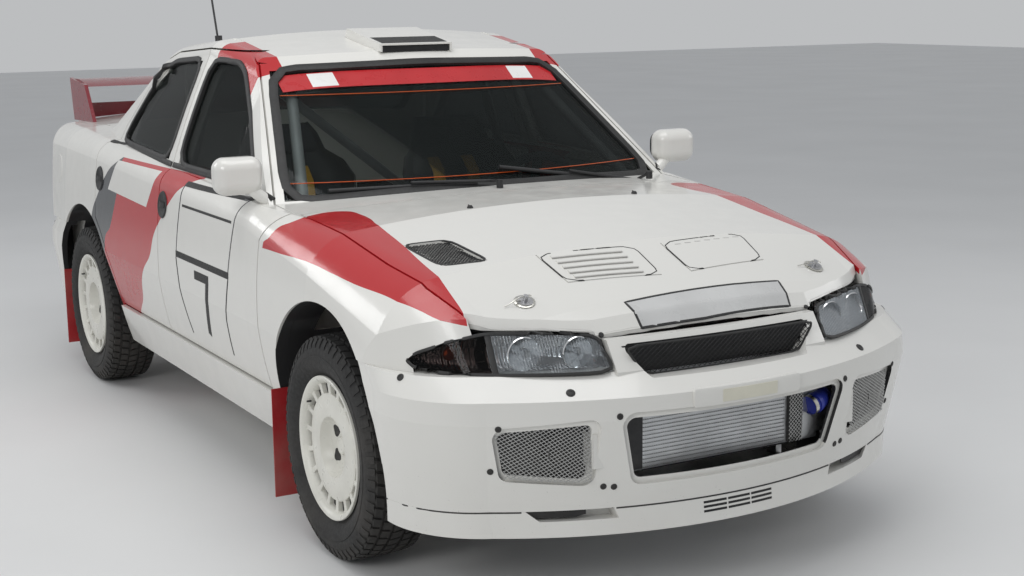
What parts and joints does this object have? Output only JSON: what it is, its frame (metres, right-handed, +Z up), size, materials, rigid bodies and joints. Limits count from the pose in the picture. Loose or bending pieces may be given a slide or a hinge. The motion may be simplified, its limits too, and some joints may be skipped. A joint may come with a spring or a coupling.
{
  "type": "gravel rally car",
  "caption": "Four-door saloon car prepared for gravel rallying, with opening doors, bonnet and boot lid, steered front wheels and rolling wheels.",
  "frame": {"origin": "bottom centre of the bounding box, on the ground under the middle of the car", "axes": "+Y towards the car's tail, -Y towards its nose, +X towards the car's left side, +Z up"},
  "size_m": [1.808, 4.308, 1.7612],
  "materials": {
    "body_paint": "gloss",
    "accent_paint": "gloss",
    "bumper_paint": "gloss",
    "glazing": "clear",
    "lamp_glass": "clear",
    "wheel_paint": "satin",
    "tyre": "matt",
    "black_plastic": "matt",
    "bare_steel": "satin",
    "dark_iron": "matt",
    "cooler_aluminium": "satin",
    "cage_paint": "satin",
    "seat_shell": "matt",
    "flap_rubber": "matt"
  },
  "bodies": {
    "body": {"aerial": "black_plastic", "body_shell": "body_paint", "bucket_seats": "seat_shell", "chin_spoiler": "bumper_paint", "cooler_pack": "cooler_aluminium", "dashboard": "black_plastic", "engine_block": "dark_iron", "exhaust": "bare_steel", "front_bumper": "bumper_paint", "front_fenders": "body_paint", "front_suspension": "dark_iron", "headlamps": "lamp_glass", "mud_flaps": "flap_rubber", "rear_bumper": "bumper_paint", "rear_suspension": "dark_iron", "roll_cage": "cage_paint", "roof_vent": "body_paint", "screens": "glazing", "sill_covers": "bumper_paint", "sump_guard": "bare_steel", "tail_lamps": "lamp_glass", "wipers": "black_plastic"},
    "door_front_right": {"door_front_right": "body_paint", "glass_front_right": "glazing", "mirror_right": "body_paint"},
    "wheel_front_right": {"tyre_front_right": "tyre", "rim_front_right": "wheel_paint"},
    "door_front_left": {"door_front_left": "body_paint", "glass_front_left": "glazing", "mirror_left": "body_paint"},
    "wheel_front_left": {"tyre_front_left": "tyre", "rim_front_left": "wheel_paint"},
    "door_rear_right": {"door_rear_right": "body_paint", "glass_rear_right": "glazing"},
    "wheel_rear_right": {"tyre_rear_right": "tyre", "rim_rear_right": "wheel_paint"},
    "door_rear_left": {"door_rear_left": "body_paint", "glass_rear_left": "glazing"},
    "wheel_rear_left": {"tyre_rear_left": "tyre", "rim_rear_left": "wheel_paint"},
    "bonnet": {"bonnet": "body_paint", "bonnet_pins": "bare_steel", "bonnet_vents": "black_plastic"},
    "boot_lid": {"boot_lid": "body_paint", "rear_wing": "accent_paint"},
    "knuckle_right": {"knuckle_right": "dark_iron"},
    "knuckle_left": {"knuckle_left": "dark_iron"},
    "steering_wheel": {"steering_wheel": "black_plastic"}
  },
  "joints": [
    {"name": "steer_right", "type": "hinge", "parent": "body", "child": "knuckle_right", "pos_m": [-0.69, -1.285, 0.215], "axis": [0.232, 0, 0.9727], "range_deg": [-30, 30]},
    {"name": "steer_left", "type": "hinge", "parent": "body", "child": "knuckle_left", "pos_m": [0.69, -1.285, 0.215], "axis": [-0.232, 0, 0.9727], "range_deg": [-30, 30]},
    {"name": "steering_wheel_turn", "type": "hinge", "parent": "body", "child": "steering_wheel", "pos_m": [0.35, -0.44, 0.86], "axis": [0, 0.9487, 0.3162], "range_deg": [-390, 390]},
    {"name": "roll_front_right", "type": "hinge", "parent": "knuckle_right", "child": "wheel_front_right", "pos_m": [-0.7325, -1.285, 0.325], "axis": [1, 0, 0], "continuous": true},
    {"name": "roll_front_left", "type": "hinge", "parent": "knuckle_left", "child": "wheel_front_left", "pos_m": [0.7325, -1.285, 0.325], "axis": [1, 0, 0], "continuous": true},
    {"name": "roll_rear_right", "type": "hinge", "parent": "body", "child": "wheel_rear_right", "pos_m": [-0.735, 1.225, 0.325], "axis": [1, 0, 0], "continuous": true},
    {"name": "roll_rear_left", "type": "hinge", "parent": "body", "child": "wheel_rear_left", "pos_m": [0.735, 1.225, 0.325], "axis": [1, 0, 0], "continuous": true},
    {"name": "open_door_front_right", "type": "hinge", "parent": "body", "child": "door_front_right", "pos_m": [-0.853, -0.871, 0.8], "axis": [0, 0, 1], "range_deg": [0, 65]},
    {"name": "open_door_front_left", "type": "hinge", "parent": "body", "child": "door_front_left", "pos_m": [0.853, -0.871, 0.8], "axis": [0, 0, -1], "range_deg": [0, 65]},
    {"name": "open_door_rear_right", "type": "hinge", "parent": "body", "child": "door_rear_right", "pos_m": [-0.853, 0.199, 0.8], "axis": [0, 0, 1], "range_deg": [0, 65]},
    {"name": "open_door_rear_left", "type": "hinge", "parent": "body", "child": "door_rear_left", "pos_m": [0.853, 0.199, 0.8], "axis": [0, 0, -1], "range_deg": [0, 65]},
    {"name": "open_bonnet", "type": "hinge", "parent": "body", "child": "bonnet", "pos_m": [0, -0.892, 0.968], "axis": [-1, 0, 0], "range_deg": [0, 60]},
    {"name": "open_boot", "type": "hinge", "parent": "body", "child": "boot_lid", "pos_m": [0, 1.448, 1.082], "axis": [1, 0, 0], "range_deg": [0, 70]}
  ],
  "couplings": [
    {"joint": "steer_left", "follows": "steer_right", "ratio": 1},
    {"joint": "steering_wheel_turn", "follows": "steer_right", "ratio": 13}
  ]
}
